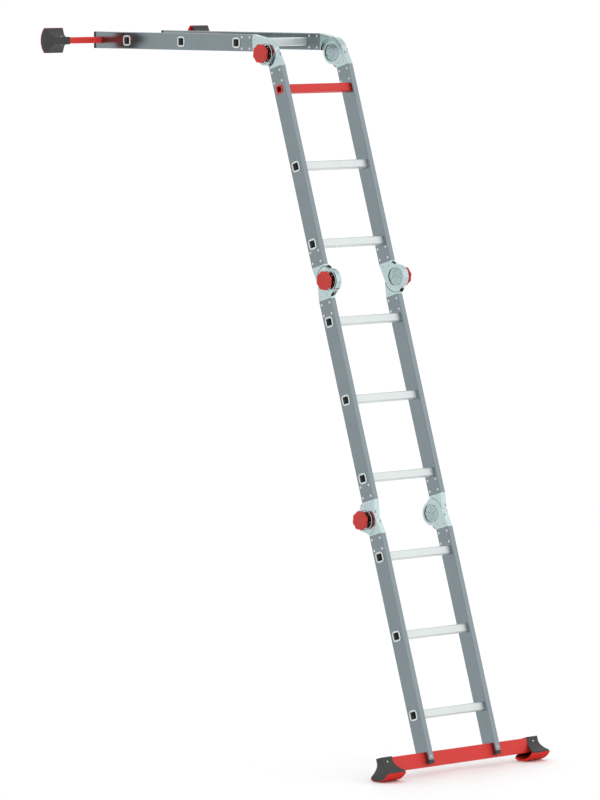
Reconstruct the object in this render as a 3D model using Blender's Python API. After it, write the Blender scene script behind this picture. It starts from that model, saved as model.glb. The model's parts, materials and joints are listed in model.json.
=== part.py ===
"""Folding ladder of four hinged sections, standing with its top section level.

Sizes are in metres. +Z is up, +X is the climber's right and +Y points to the wall.

Each section hangs on an empty on the axis of the hinge below it. Within a
section, x runs across the ladder, a along the stiles and d to the climber's
side. An outline lies in the plane of (a, d), and its solid is as thick as the
piece is along x.
"""

import math

import bmesh
import bpy
from mathutils import Matrix, Vector

# Clearances
GAP = 0.0003             # between pieces that fit together
RUNNING_GAP = 0.0007     # round what turns or slides in a bore
PAST = 0.005             # how far a cutter runs past the face that it cuts

# Whole ladder
WIDTH = 0.360            # across the outer faces of the stiles
LEAN = math.radians(73)  # sections 1 to 3, above the horizontal
RUNG_PITCH = 0.280
SECTION = 3 * RUNG_PITCH  # from hinge axis to hinge axis, and three rungs
FIRST_RUNG = RUNG_PITCH / 2

# Stiles: rectangular tube
STILE_DEPTH = 0.060
STILE_THICK = 0.025
STILE_WALL = 0.0016
X_OUT = WIDTH / 2
X_IN = X_OUT - STILE_THICK
X_MID = (X_IN + X_OUT) / 2

# Rungs: square tube with cut corners, beaded over on the outer faces
RUNG = 0.030
RUNG_WALL = 0.002
BEAD_PAST = 0.0035       # how far the bead stands out round the rung
BEAD_THICK = 0.0020
RUNG_CORNER = 0.003
RUNG_BORE = RUNG - 2 * RUNG_WALL
RUNG_BEAD = RUNG + 2 * BEAD_PAST

# Hinge arms: pressed steel, sizes measured from the axis
AXIS_OFFSET = 0.036      # from the middle of the stile to the axis
DISC_R = 0.0425
SWEEP_R = DISC_R + 0.0115  # outline of the plate where it meets the other arm
WEB_DIP = 0.003          # how far the sides beside the disc run inside its tangent
LEG_R = SWEEP_R + 0.0015  # start of the part as thick as the stile
LEG_LENGTH = 0.0055
STILE_END = LEG_R + LEG_LENGTH  # from a hinge axis to the end of the tube
RECESS_R = DISC_R - 0.0095
SHEET = 0.0025           # thickness of the steel
ARM_THICK = STILE_THICK / 2 - GAP
OUTER_RECESS = (0.005, 0.008)   # front and back of the floor of the recess
INNER_RECESS = (0.006, 0.0095)
BOSS_R = 0.013
BOSS_END = X_OUT - X_IN - INNER_RECESS[0] - 0.0002
BOSS_BORE_R = BOSS_R + RUNNING_GAP
TONGUE_GAP = 0.0004
TONGUE_END = FIRST_RUNG - RUNG / 2 - 0.004  # short of the first rung
REAR = AXIS_OFFSET - STILE_DEPTH / 2  # from the axis to the stile's nearer face
ROOT = STILE_END - 0.0003             # end of the leg, at the end of the tube
FRONT_SLOPE = (REAR + STILE_DEPTH - SWEEP_R) / STILE_END  # taper of the front edge

# Lock: star knob, and a plate with a spindle and three pins
PLATE_R = RECESS_R - 0.0015
PLATE_X = (X_IN + 0.0015, X_IN + 0.005)
SPINDLE_R = 0.0055
SPINDLE_BORE_R = SPINDLE_R + RUNNING_GAP
SPINDLE_END = X_OUT + 0.0167
PIN_R = 0.0035
PIN_BORE_R = PIN_R + RUNNING_GAP
PIN_CIRCLE = RECESS_R - 0.009
PIN_END = X_OUT - OUTER_RECESS[1] - 0.0008  # short of the outer arm's floor
KNOB_R = 0.034
KNOB_DIP = 0.0038        # depth of the hollows between the lobes
KNOB_LOBES = 8
KNOB_X = (X_OUT + 0.0145, X_OUT + 0.0245)
KNOB_HUB_R = 0.018
KNOB_HUB_X = X_OUT + 0.0045
KNOB_SEAT = SPINDLE_END + GAP  # end of the hole for the spindle

# Stabilisers, with f measured outwards along the stiles from the last rung
BAR_START_F = 0.132
BAR_DEPTH = 0.051
BAR_F = (BAR_START_F, BAR_START_F + BAR_DEPTH)
BAR_THICK = 0.022
BAR_WALL = 0.002
BAR_HALF = 0.385
TUBE_END_F = BAR_F[0] + 0.030
CAP_F = (BAR_F[0] - 0.006, TUBE_END_F + 0.013)
SOLE_R = 0.065
SOLE_CENTRE_F = BAR_F[1] - 0.037
SOLE_THICK = 0.0065
SOLE_HALF_DEPTH = 0.045
SOLE_STEP = math.radians(8.5)
SOLE_X = (BAR_HALF - 0.067, BAR_HALF + 0.022)
SOLE_PAST = math.radians(0.35)  # how far cutters run past the sole's ends
SHOE_WALL = 0.003
SHOE_TOP_F = BAR_F[0] - 0.0025
SHOE_FLARE = (           # beyond the bar's lower edge, its faces, and in and out of its end
    (-0.028, 0.0025, 0.047, 0.008),
    (-0.018, 0.0055, 0.050, 0.010),
    (-0.009, 0.0125, 0.056, 0.014),
    (-0.002, 0.0220, 0.063, 0.018),
    (0.003, 0.0335, 0.0665, 0.0215),
)
SHOE = [(BAR_F[1] + f, BAR_THICK / 2 + d, BAR_HALF - inner, BAR_HALF + outer)
        for f, d, inner, outer in SHOE_FLARE]
SHOE.insert(0, (SHOE_TOP_F, *SHOE[0][1:]))  # f, half depth, inner x, outer x

SIDES = (("left", -1), ("right", 1))

# Each hinge: the side its axis is on (1 is the climber's), and the section
# whose arms are the outer ones
HINGES = ((1, -1, 2), (2, 1, 2), (3, -1, 4))

# Colour, roughness and metallic value
FINISHES = {
    "stile_aluminium": ((0.24, 0.29, 0.31), 0.38, 1.0),
    "rung_aluminium": ((0.70, 0.74, 0.73), 0.35, 1.0),
    "hinge_steel": ((0.53, 0.62, 0.64), 0.30, 1.0),
    "red_coat": ((0.66, 0.06, 0.045), 0.45, 0.0),
    "red_plastic": ((0.52, 0.05, 0.04), 0.55, 0.0),
    "red_rubber": ((0.48, 0.05, 0.035), 0.75, 0.0),
    "black_plastic": ((0.055, 0.056, 0.055), 0.6, 0.0),
}


# ------------------------------------------------------------- outlines
def arc(r, start, end, steps, centre=(0, 0)):
    """Points along an arc, both ends included."""
    turns = [start + (end - start) * k / steps for k in range(steps + 1)]
    return [(centre[0] + r * math.cos(t), centre[1] + r * math.sin(t)) for t in turns]


def circle(r, steps, centre=(0, 0)):
    return arc(r, 0, 2 * math.pi, steps, centre)[:-1]


def cut_square(size, corner):
    """Square with its corners cut off."""
    h, c = size / 2, corner
    return [(h, h - c), (h - c, h), (c - h, h), (-h, h - c),
            (-h, c - h), (c - h, -h), (h - c, -h), (h, c - h)]


def star(r, dip, lobes):
    """Round outline with shallow hollows between its lobes."""
    turns = [2 * math.pi * k / (4 * lobes) for k in range(4 * lobes)]
    radii = [r - dip * (1 - math.cos(lobes * t)) / 2 for t in turns]
    return [(q * math.cos(t), q * math.sin(t)) for q, t in zip(radii, turns)]


def sole_arc(r, past=0.0):
    """Under side of the sole in (f, d): flats 8.5 degrees apart, one level."""
    tip = math.asin(SOLE_HALF_DEPTH / SOLE_R) + past
    turns = [(k + 0.5) * SOLE_STEP for k in range(5)] + [tip]
    turns = [-t for t in reversed(turns)] + turns
    return [(SOLE_CENTRE_F + r * math.cos(t), r * math.sin(t)) for t in turns]


# ------------------------------------------------- solids, made at the origin
def as_object(name, mesh):
    ob = bpy.data.objects.new(name, mesh)
    bpy.context.scene.collection.objects.link(ob)
    return ob


def evaluated_mesh(ob):
    return bpy.data.meshes.new_from_object(
        ob.evaluated_get(bpy.context.evaluated_depsgraph_get())
    )


def corners(loop):
    """A closed outline without the points that lie on a straight side."""
    found = []
    for before, here, after in zip(loop[-1:] + loop[:-1], loop, loop[1:] + loop[:1]):
        first, second = Vector(here) - Vector(before), Vector(after) - Vector(here)
        if abs(first.cross(second)) > 1e-9:
            found.append(here)
    return found


def solid(outline, low, high, holes=()):
    """A flat outline, thickened from low to high along local Z."""
    curve = bpy.data.curves.new("outline", "CURVE")
    curve.dimensions = "2D"
    curve.fill_mode = "BOTH"
    curve.extrude = (high - low) / 2
    for loop in map(corners, (outline, *holes)):
        spline = curve.splines.new("POLY")
        spline.points.add(len(loop) - 1)
        for point, (x, y) in zip(spline.points, loop):
            point.co = (x, y, 0, 1)
        spline.use_cyclic_u = True
    drawn = as_object("outline", curve)
    mesh = evaluated_mesh(drawn)
    bpy.data.objects.remove(drawn)
    bm = bmesh.new()
    bm.from_mesh(mesh)
    bmesh.ops.remove_doubles(bm, verts=bm.verts, dist=1e-6)
    bmesh.ops.translate(bm, verts=bm.verts, vec=(0, 0, (low + high) / 2))
    bmesh.ops.recalc_face_normals(bm, faces=bm.faces)
    bm.to_mesh(mesh)
    bm.free()
    return as_object("solid", mesh)


def disc(r, low, high, steps, centre=(0, 0)):
    """Cylinder along local Z."""
    mesh = bpy.data.meshes.new("disc")
    bm = bmesh.new()
    middle = Matrix.Translation((*centre, (low + high) / 2))
    bmesh.ops.create_cone(bm, cap_ends=True, segments=steps, radius1=r, radius2=r,
                          depth=abs(high - low), matrix=middle)
    bm.to_mesh(mesh)
    bm.free()
    return as_object("disc", mesh)


def block(low, high):
    """Box between two corners."""
    low, high = Vector(low), Vector(high)
    size = Matrix.Diagonal((*(high - low), 1))
    mesh = bpy.data.meshes.new("block")
    bm = bmesh.new()
    bmesh.ops.create_cube(bm, size=1, matrix=Matrix.Translation((low + high) / 2) @ size)
    bm.to_mesh(mesh)
    bm.free()
    return as_object("block", mesh)


def combine(operation, base, others):
    """Boolean of base with each of the others, which are used up."""
    for other in others:
        mod = base.modifiers.new(operation, "BOOLEAN")
        mod.operation = operation
        mod.object = other
        mesh = evaluated_mesh(base)
        base.modifiers.clear()
        base.data = mesh
        bpy.data.objects.remove(other)
    return base


def join(base, *others):
    return combine("UNION", base, others)


def cut(base, *others):
    return combine("DIFFERENCE", base, others)


def overlap(base, *others):
    return combine("INTERSECT", base, others)


def finished(ob, finish):
    """The mesh of a working solid, in its finish; the working solid goes."""
    mesh = ob.data
    mesh.materials.clear()
    mesh.materials.append(bpy.data.materials[finish])
    mesh.shade_smooth()
    mesh.set_sharp_from_angle(angle=math.radians(35))
    bpy.data.objects.remove(ob)
    return mesh


# ------------------------------------------------------------ stiles, rungs
def stile_mesh(foot):
    """Tube along local X from the hinge's level, centred in Y and Z.

    The holes for the rungs go through both webs. With a foot, the far end
    carries on past the last rung and has a notch for the bar.
    """
    half, thick = STILE_DEPTH / 2, STILE_THICK / 2
    end = SECTION - FIRST_RUNG + TUBE_END_F if foot else SECTION - STILE_END
    tube = block((STILE_END, -half, -thick), (end, half, thick))
    inner = block((STILE_END - PAST, STILE_WALL - half, STILE_WALL - thick),
                  (end + PAST, half - STILE_WALL, thick - STILE_WALL))
    cut(tube, inner)
    for k in range(3):
        at = FIRST_RUNG + k * RUNG_PITCH
        shape = [(at + x, y) for x, y in cut_square(RUNG + 2 * GAP, RUNG_CORNER)]
        cut(tube, solid(shape, -thick - PAST, thick + PAST))
    if foot:
        slot = BAR_THICK / 2 + GAP
        notch = end - TUBE_END_F + BAR_F[0] - GAP
        cut(tube, block((notch, -slot, -thick - PAST), (end + PAST, slot, thick + PAST)))
    return finished(tube, "stile_aluminium")


def rung_mesh(finish):
    """Square tube along local Z with a bead against each outer web."""
    bead = X_OUT + GAP
    end = bead + BEAD_THICK
    tube = solid(cut_square(RUNG, RUNG_CORNER), -end, end)
    for low, high in ((-end, -bead), (bead, end)):
        join(tube, solid(cut_square(RUNG_BEAD, RUNG_CORNER), low, high))
    cut(tube, solid(cut_square(RUNG_BORE, RUNG_CORNER / 2), -end - PAST, end + PAST))
    return finished(tube, finish)


# ----------------------------------------------------------------- hinges
def leaving(r, x, y):
    """Angle at which the disc of radius r is left for the corner (x, y).

    The side there runs just inside the disc's tangent, so that two folded
    arms keep clear of each other.
    """
    foot = r - WEB_DIP
    return math.atan2(y, x) - math.acos(foot / math.hypot(x, y)) + math.acos(foot / r)


def arm_outline():
    """Outline of an arm: its disc, the webs beside it, and the leg.

    The origin is the axis, X runs along the arm's own stile and Y to the
    middle of the stile. The edge at the far side is an arc that the other
    arm's leg clears.
    """
    shut = math.pi - math.asin(REAR / SWEEP_R)
    corner = SWEEP_R * math.cos(math.pi - shut), REAR
    rear = arc(DISC_R, leaving(DISC_R, ROOT, REAR), -math.pi - leaving(DISC_R, *corner), 10)
    front = arc(SWEEP_R, shut, math.pi / 2, 6)
    return [(ROOT, REAR)] + rear + front + [(ROOT, SWEEP_R + FRONT_SLOPE * ROOT)]


def web_pocket():
    """Outline of the hollow behind the disc and the webs."""
    disc_r, sweep_r, rear = DISC_R - SHEET, SWEEP_R - SHEET, REAR + SHEET
    shut = math.asin(rear / sweep_r)
    corner = sweep_r * math.cos(shut), rear
    turn = leaving(disc_r, *corner)
    return (arc(disc_r, turn, -math.pi - turn, 10)
            + arc(sweep_r, math.pi - shut, shut, 10))


def leg_pocket():
    """Outline of the hollow in the leg, open towards the tongue."""
    r, rear = LEG_R + SHEET, REAR + SHEET
    start = arc(r, math.radians(60), math.asin(rear / r), 5)
    edge = [(x, SWEEP_R - SHEET + FRONT_SLOPE * x) for x in (ROOT + PAST, start[0][0])]
    return start + [(ROOT + PAST, rear)] + edge


def pin_places():
    return [(y, x) for x, y in circle(PIN_CIRCLE, 3)]


def arm_mesh(outer, flip):
    """Arm with its axis along local Z, and the face that shows at Z = 0.

    flip is 1 or -1 and says to which side of that face the steel lies.
    """
    def levels(low, high):
        return sorted((flip * low, flip * high))

    def shape(outline, low, high, holes=()):
        return solid(outline, *levels(low, high), holes)

    def round_bar(r, low, high, steps=24, centre=(0, 0)):
        return disc(r, *levels(low, high), steps, centre)

    floor, back = OUTER_RECESS if outer else INNER_RECESS
    arm = shape(arm_outline(), 0, STILE_THICK)
    cut(arm, round_bar(LEG_R, ARM_THICK, STILE_THICK + PAST, 40))
    post = circle(RECESS_R + SHEET, 24)
    cut(arm, shape(web_pocket(), SHEET, ARM_THICK + PAST / 2, [post]))
    cut(arm, shape(leg_pocket(), SHEET, STILE_THICK - SHEET))
    cut(arm, round_bar(RECESS_R, -PAST, floor))
    if outer:
        collar = circle(BOSS_R + 2 * GAP, 16)
        cut(arm, shape(circle(RECESS_R, 24), back, ARM_THICK + PAST / 2, [collar]))
        join(arm, round_bar(BOSS_R, back, BOSS_END, 16))
        cut(arm, round_bar(SPINDLE_BORE_R, floor - PAST, BOSS_END + PAST, 12))
    else:
        cut(arm, round_bar(RECESS_R, back, ARM_THICK + PAST / 2))
        cut(arm, round_bar(BOSS_BORE_R, floor - PAST, back + PAST / 2, 16))
        for place in pin_places():
            cut(arm, round_bar(PIN_BORE_R, floor - PAST, back + PAST / 2, 8, place))

    # Tongue: a tray that slides into the tube, open to the ladder's inside
    clear = STILE_WALL + TONGUE_GAP
    low, high = clear, STILE_THICK - clear
    end = TONGUE_END
    rear, front = REAR + clear, REAR + STILE_DEPTH - clear
    join(arm, block((ROOT - SHEET, rear, levels(low, high)[0]),
                    (end, front, levels(low, high)[1])))
    tray = levels(low + SHEET, high + PAST) if outer else levels(low - PAST, high - SHEET)
    cut(arm, block((ROOT, rear + SHEET, tray[0]), (end - SHEET, front - SHEET, tray[1])))
    mouth = levels(low + SHEET + GAP, high - SHEET - GAP)
    cut(arm, block((ROOT - 2 * SHEET, rear + SHEET + GAP, mouth[0]),
                   (ROOT + SHEET, front - SHEET - GAP, mouth[1])))
    return finished(arm, "hinge_steel")


def knob_mesh(side):
    """Star knob around local Z, with z measured from the ladder's middle."""
    low, high = sorted(side * x for x in KNOB_X)
    knob = solid(star(KNOB_R, KNOB_DIP, KNOB_LOBES), low, high)
    hub = sorted(side * x for x in (KNOB_HUB_X, (KNOB_X[0] + KNOB_X[1]) / 2))
    join(knob, disc(KNOB_HUB_R, *hub, 16))
    hole = sorted(side * x for x in (KNOB_HUB_X - PAST, KNOB_SEAT))
    cut(knob, disc(SPINDLE_BORE_R, *hole, 12))
    return finished(knob, "red_plastic")


def lock_plate_mesh(side):
    """Plate, spindle and pins around local Z, z from the ladder's middle."""
    plate = disc(PLATE_R, *sorted(side * x for x in PLATE_X), 24)
    join(plate, disc(SPINDLE_R, *sorted((side * PLATE_X[0], side * SPINDLE_END)), 12))
    for place in pin_places():
        pin = sorted((side * PLATE_X[0], side * PIN_END))
        join(plate, disc(PIN_R, *pin, 8, place))
    return finished(plate, "hinge_steel")


# -------------------------------------------- stabilisers, in (f, d) and x
def bar_mesh():
    half, wall = BAR_THICK / 2, BAR_WALL
    bar = block((BAR_F[0], -half, -BAR_HALF), (BAR_F[1], half, BAR_HALF))
    cut(bar, block((BAR_F[0] + wall, wall - half, -BAR_HALF - PAST),
                   (BAR_F[1] - wall, half - wall, BAR_HALF + PAST)))
    return finished(bar, "red_coat")


def cap_mesh():
    """U-shaped plug for the end of a stile, astride the bar, with a lip."""
    clear = STILE_WALL + GAP
    half, thick = STILE_DEPTH / 2, STILE_THICK / 2
    step = TUBE_END_F + GAP
    cap = block((CAP_F[0], clear - half, clear - thick),
                (step + SHEET, half - clear, thick - clear))
    join(cap, block((step, -half, -thick), (CAP_F[1], half, thick)))
    slot = BAR_THICK / 2 + GAP
    cut(cap, block((BAR_F[0] - GAP, -slot, -thick - PAST),
                   (CAP_F[1] + PAST, slot, thick + PAST)))
    return finished(cap, "black_plastic")


def flared(rows, side, end):
    """Solid with the rows' depths seen from the side and widths from the front."""
    last = rows[-1]
    rows = list(rows) + [(end, *last[1:])]
    depth = max(d for _, d, _, _ in rows)
    outline = [(f, -d) for f, d, _, _ in rows] + [(f, d) for f, d, _, _ in rows[::-1]]
    x_low, x_high = min(x for _, _, x, _ in rows), max(x for *_, x in rows)
    seen_side = solid(outline, *sorted((side * (x_low - PAST), side * (x_high + PAST))))
    front = [(f, side * x) for f, _, x, _ in rows]
    front += [(f, side * x) for f, _, _, x in rows[::-1]]
    seen_front = solid(front, -depth - PAST, depth + PAST)
    # Turn its thickness from local Z to local Y
    seen_front.data.transform(Matrix(((1, 0, 0, 0), (0, 0, -1, 0), (0, 1, 0, 0), (0, 0, 0, 1))))
    return overlap(seen_side, seen_front)


def shoe_mesh(side):
    """Flared hollow shoe over the bar's end, open towards the ladder."""
    shoe = flared(SHOE, side, SOLE_CENTRE_F + SOLE_R)
    seat = sole_arc(SOLE_R - SOLE_THICK - GAP, past=SOLE_PAST)
    ends = sole_arc(SOLE_R + 4 * PAST, past=SOLE_PAST)
    top = SHOE[0][0] - PAST
    keep = seat + [ends[-1], (top, ends[-1][1]), (top, ends[0][1]), ends[0]]
    wide = sorted(side * x for x in (SHOE[-1][2] - 2 * PAST, SHOE[-1][3] + 2 * PAST))
    overlap(shoe, solid(keep, *wide))
    bore = BAR_THICK / 2 + GAP
    mouth = SHOE[-1][2] - PAST
    hollow = [(BAR_F[0] - GAP, bore, mouth, SHOE[0][3] - SHOE_WALL)]
    hollow += [(f, max(bore, d - SHOE_WALL), mouth, x - SHOE_WALL)
               for f, d, _, x in SHOE[1:]]
    cut(shoe, flared(hollow, side, SOLE_CENTRE_F + SOLE_R))
    return finished(shoe, "black_plastic")


def sole_mesh():
    outline = sole_arc(SOLE_R) + sole_arc(SOLE_R - SOLE_THICK)[::-1]
    half = (SOLE_X[1] - SOLE_X[0]) / 2
    return finished(solid(outline, -half, half), "red_rubber")


# ---------------------------------------------------------------- assembly
def make_finishes():
    for name, (colour, roughness, metallic) in FINISHES.items():
        material = bpy.data.materials.new(name)
        material.use_nodes = True
        shader = material.node_tree.nodes["Principled BSDF"]
        shader.inputs["Base Color"].default_value = (*colour, 1)
        shader.inputs["Roughness"].default_value = roughness
        shader.inputs["Metallic"].default_value = metallic


def section_empties():
    """Empties of the four sections, each on the axis of the hinge below it.

    The first stands where section 1 starts. The ladder's box has its bottom
    centre at the origin, and the level flats of the lower soles are at Z = 0.
    """
    turn = Matrix.Rotation(LEAN, 3, "X")
    floor = SOLE_R * math.cos(SOLE_STEP / 2)
    start = Vector((0, 0, floor)) - turn @ Vector((0, FIRST_RUNG - SOLE_CENTRE_F, 0))
    places = [start]
    for _, offset, _ in HINGES:
        level = (len(places)) * SECTION
        places.append(start + turn @ Vector((0, level, offset * AXIS_OFFSET)))
    foot = max(f for f, _ in sole_arc(SOLE_R))
    back = places[3].y + SECTION - FIRST_RUNG + foot
    front = min((start + turn @ Vector((0, FIRST_RUNG - f, d))).y
                for f, d in sole_arc(SOLE_R))
    empties = []
    for k, place in enumerate(places):
        empty = as_object(f"section_{k + 1}", None)
        empty.location = place - Vector((0, (front + back) / 2, 0))
        empty.rotation_euler = (LEAN if k < 3 else 0, 0, 0)
        empties.append(empty)
    return empties


class Builder:
    """Puts pieces on the sections, in the ladder's collection."""

    def __init__(self):
        self.collection = bpy.data.collections.new("Folding ladder")
        bpy.context.scene.collection.children.link(self.collection)
        self.empties = section_empties()
        self.pivots = [0] + [offset * AXIS_OFFSET for _, offset, _ in HINGES]

    def put(self, name, mesh, section, place, along=(0, 1, 0), depth=(0, 0, 1)):
        """Places a mesh at (x, a, d), its local X and Y turned to two directions."""
        ob = bpy.data.objects.new(name, mesh)
        self.collection.objects.link(ob)
        ob.parent = self.empties[section - 1]
        x, a, d = place
        ob.location = (x, a, d - self.pivots[section - 1])
        along, depth = Vector(along), Vector(depth)
        turn = Matrix((along, depth, along.cross(depth))).transposed()
        ob.rotation_euler = turn.to_euler()


def make_sections(builder):
    plain, footed = stile_mesh(foot=False), stile_mesh(foot=True)
    natural, red = rung_mesh("rung_aluminium"), rung_mesh("red_coat")
    for section in range(1, 5):
        mesh = footed if section in (1, 4) else plain
        for side_name, side in SIDES:
            name = f"stile_{section}_{side_name}"
            if section == 1:
                builder.put(name, mesh, 1, (side * X_MID, SECTION, 0), (0, -1, 0))
            else:
                builder.put(name, mesh, section, (side * X_MID, 0, 0))
        for k in range(3):
            mesh = red if (section, k) == (3, 2) else natural
            place = (0, FIRST_RUNG + k * RUNG_PITCH, 0)
            builder.put(f"rung_{section}_{k + 1}", mesh, section, place)


def make_hinges(builder):
    arms = {(outer, flip): arm_mesh(outer, flip)
            for outer in (True, False) for flip in (1, -1)}
    knobs = {side: knob_mesh(side) for _, side in SIDES}
    plates = {side: lock_plate_mesh(side) for _, side in SIDES}
    for hinge, offset, outer_section in HINGES:
        for side_name, side in SIDES:
            name = f"hinge_{hinge}_{side_name}"
            for section in (hinge, hinge + 1):
                outer = section == outer_section
                kind = "outer_arm" if outer else "inner_arm"
                up = 1 if section == hinge + 1 else -1
                level = 0 if up > 0 else SECTION
                face = side * (X_OUT if outer else X_IN)
                place = (face, level, offset * AXIS_OFFSET)
                # Local Z points along x by -up * offset, and the steel lies
                # inwards of an outer arm's face, outwards of an inner arm's
                flip = side * up * offset * (1 if outer else -1)
                builder.put(f"{name}_{kind}", arms[outer, flip], section, place,
                            (0, up, 0), (0, 0, -offset))
                if not outer:
                    axis = (0, level, offset * AXIS_OFFSET)
                    turned = up * -offset
                    builder.put(f"{name}_knob", knobs[side * turned], section, axis,
                                (0, up, 0), (0, 0, -offset))
                    builder.put(f"{name}_lock_plate", plates[side * turned], section,
                                axis, (0, up, 0), (0, 0, -offset))


def make_stabilisers(builder):
    bar, cap, sole = bar_mesh(), cap_mesh(), sole_mesh()
    shoes = {side: shoe_mesh(side) for _, side in SIDES}
    for end_name, section, up in (("bottom", 1, -1), ("top", 4, 1)):
        last = FIRST_RUNG if up < 0 else SECTION - FIRST_RUNG
        along = (0, up, 0)
        builder.put(f"stabiliser_bar_{end_name}", bar, section, (0, last, 0), along)
        for side_name, side in SIDES:
            sole_x = side * (SOLE_X[0] + SOLE_X[1]) / 2
            builder.put(f"end_cap_{end_name}_{side_name}", cap, section,
                        (side * X_MID, last, 0), along)
            builder.put(f"foot_{end_name}_{side_name}", shoes[side * up], section,
                        (0, last, 0), along)
            builder.put(f"sole_{end_name}_{side_name}", sole, section,
                        (sole_x, last, 0), along)


def main():
    for ob in list(bpy.data.objects):
        bpy.data.objects.remove(ob)
    make_finishes()
    builder = Builder()
    make_sections(builder)
    make_hinges(builder)
    make_stabilisers(builder)


main()
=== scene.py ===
"""Looks of the folding ladder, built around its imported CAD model.

Sizes are in metres. +Z is up, +X is the climber's right and +Y points to the wall.

Each section has its own frame: x across the ladder, a along the stiles and d to
the climber's side. A piece's mesh has X along its stile, Y in depth and Z across,
so that the materials' grain, in Object coordinates, runs along the stiles.
"""

import json
import math

import bmesh
import bpy
from mathutils import Matrix, Vector

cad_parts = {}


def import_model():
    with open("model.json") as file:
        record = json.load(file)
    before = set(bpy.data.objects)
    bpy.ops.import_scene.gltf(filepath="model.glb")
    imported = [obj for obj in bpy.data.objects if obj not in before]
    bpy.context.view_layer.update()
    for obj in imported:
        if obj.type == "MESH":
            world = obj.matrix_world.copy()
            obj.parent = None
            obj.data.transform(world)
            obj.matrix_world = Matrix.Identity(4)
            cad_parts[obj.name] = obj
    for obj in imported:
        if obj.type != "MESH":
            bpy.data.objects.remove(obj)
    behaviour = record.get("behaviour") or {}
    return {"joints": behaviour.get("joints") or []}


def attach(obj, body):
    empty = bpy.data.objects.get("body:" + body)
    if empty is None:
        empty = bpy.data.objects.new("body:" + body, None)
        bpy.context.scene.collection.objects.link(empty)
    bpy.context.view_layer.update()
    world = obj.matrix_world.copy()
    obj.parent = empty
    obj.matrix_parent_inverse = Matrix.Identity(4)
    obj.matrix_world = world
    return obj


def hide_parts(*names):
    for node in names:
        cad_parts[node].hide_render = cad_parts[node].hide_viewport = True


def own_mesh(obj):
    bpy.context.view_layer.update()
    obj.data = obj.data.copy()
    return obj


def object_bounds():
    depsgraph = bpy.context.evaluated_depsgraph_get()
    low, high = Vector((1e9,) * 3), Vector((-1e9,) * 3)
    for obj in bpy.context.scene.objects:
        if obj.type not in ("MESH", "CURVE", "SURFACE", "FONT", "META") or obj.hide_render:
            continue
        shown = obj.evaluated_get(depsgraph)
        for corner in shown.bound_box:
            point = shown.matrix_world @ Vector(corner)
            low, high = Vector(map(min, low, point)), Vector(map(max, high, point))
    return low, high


# Ladder
LEAN = math.radians(73)
RUNG_PITCH = 0.280
SECTION = 3 * RUNG_PITCH
FIRST_RUNG = RUNG_PITCH / 2
AXIS_OFFSET = 0.036      # from the middle of a stile to the axis of its hinge
X_OUT = 0.180            # outer faces of the stiles
X_IN = 0.155
X_MID = (X_IN + X_OUT) / 2

# Stiles and rungs
STILE_DEPTH = 0.060
STILE_THICK = 0.025
STILE_WALL = 0.0016
STILE_ROUND = 0.0032
STILE_END = 0.061
RUNG = 0.030
RUNG_ROUND = 0.0055
RUNG_BORE = 0.0255
BEAD = 0.037
BEAD_ROUND = 0.0105
BEAD_X = (0.1802, 0.1822)
RED_BEAD = 0.0315        # the red rung's beads are smaller, with narrower mouths
RED_BEAD_ROUND = 0.0085
RED_MOUTH = 0.0185

# Hinge arms, measured from the axis
DISC_R = 0.0425
SWEEP_R = 0.054
WEB_DIP = 0.003
LEG_R = 0.0555
WEB_END = 0.0555         # start of the straight rear edge of the leg
WEB_FLOOR = 0.0082       # depth at which the hollow behind the web starts
RECESS_R = 0.033
SHEET = 0.0025
ARM_THICK = 0.0122
OUTER_FLOOR = (0.005, 0.008)
INNER_FLOOR = (0.006, 0.0095)
BOSS_R = 0.013
BOSS_END = 0.0188
BOSS_BORE_R = 0.0137
REAR = AXIS_OFFSET - STILE_DEPTH / 2
ROOT = STILE_END - 0.0003
FRONT_SLOPE = (REAR + STILE_DEPTH - SWEEP_R) / STILE_END
ARM_ROUND = 0.0011       # rounding of the pressed steel's edges
RING = (0.0328, 0.0378)  # raised ring round the knob's recess
RING_HEIGHT = 0.0013
INNER_RING_HEIGHT = 0.6 * RING_HEIGHT
RING_ROOT = 0.001        # how far the ring's solid reaches into the steel
EDGE_SLOT_X = (0.012, 0.022)     # short slot in the front edge
EDGE_SLOT_LEVELS = (0.0045, 0.0078)
EDGE_SLOT_DEPTH = 0.001          # past the sheet
ARM_HOLE_R = 0.0017
ARM_HOLES = ((0.047, 0.0475), (0.045, 0.0185))
SPINDLE_BORE_R = 0.0062

# Near-black blocks in the arms' slots, painted shade of the slots, and dark red rings on the
# floors of the outer recesses, painted shade and painted reflection of the knobs' shaded backs
SLOT_AT = (0.0515, -0.0035)      # middle of the slot in the web's edge
SLOT_ANGLE = math.radians(46)    # direction of that edge
SLOT_FILL_SIZE = (0.013, 0.012)       # along the edge, and into the web
SLOT_FILL_Z = (0.0016, 0.0109)
SLOT_GAP = 0.0004
SLOT_MOUTH = -0.03          # how far out the cutter of the slot starts
SLOT_FILL_FACE = -0.0002              # the near-black block stands this much out of the edge
SLOT_FILL_EASE = 0.0006
SHADE_DISC_R = (0.0115, 0.0285)
SHADE_DISC_THICK = 0.0012
SHADE_DISC_EASE = 0.0004
SHADE_DISC_HEAD_R = 0.0026
SHADE_DISC_HEAD_HEIGHT = 0.0010
SHADE_DISC_HEADS = 6

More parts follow.
